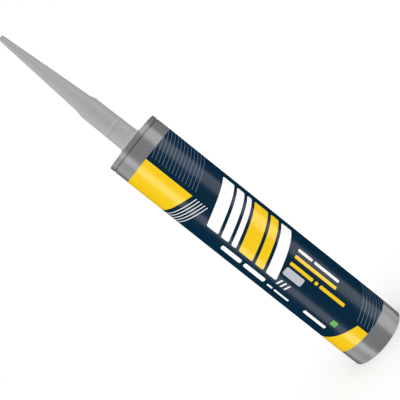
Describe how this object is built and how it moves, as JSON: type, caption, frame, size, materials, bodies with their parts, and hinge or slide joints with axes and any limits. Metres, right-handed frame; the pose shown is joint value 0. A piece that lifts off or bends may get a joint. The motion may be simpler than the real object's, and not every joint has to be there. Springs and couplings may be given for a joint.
{
  "type": "caulk cartridge",
  "caption": "Full caulk or sealant cartridge standing on its open rear rim, with a sliding plunger, paste fill, wrapped label and a long screw-on nozzle.",
  "frame": {"origin": "centre of the rear rim, on the surface that the cartridge stands on", "axes": "+Z along the barrel's axis towards the nozzle's tip, -Y towards the front of the label"},
  "size_m": [0.0482, 0.0482, 0.343],
  "materials": {
    "barrel_plastic": "satin moulded grey polyethylene",
    "nozzle_plastic": "soft matt moulded light grey polyethylene",
    "plunger_plastic": "natural white moulded polyethylene",
    "sealant_paste": "smooth wet grey paste",
    "label_film": "satin printed film, dark navy with yellow, white and lavender grey shapes"
  },
  "bodies": {
    "barrel": {"barrel": "barrel_plastic", "sealant": "sealant_paste", "label": "label_film"},
    "plunger": {"plunger": "plunger_plastic"},
    "nozzle": {"nozzle": "nozzle_plastic"}
  },
  "joints": [
    {"name": "plunger_slide", "type": "slide", "parent": "barrel", "child": "plunger", "axis": [0, 0, 1], "range_m": [0, 0.1855], "deforming": ["sealant"]},
    {"name": "nozzle_unscrew", "type": "slide", "parent": "barrel", "child": "nozzle", "axis": [0, 0, 1], "range_m": [0, 0.02]}
  ]
}
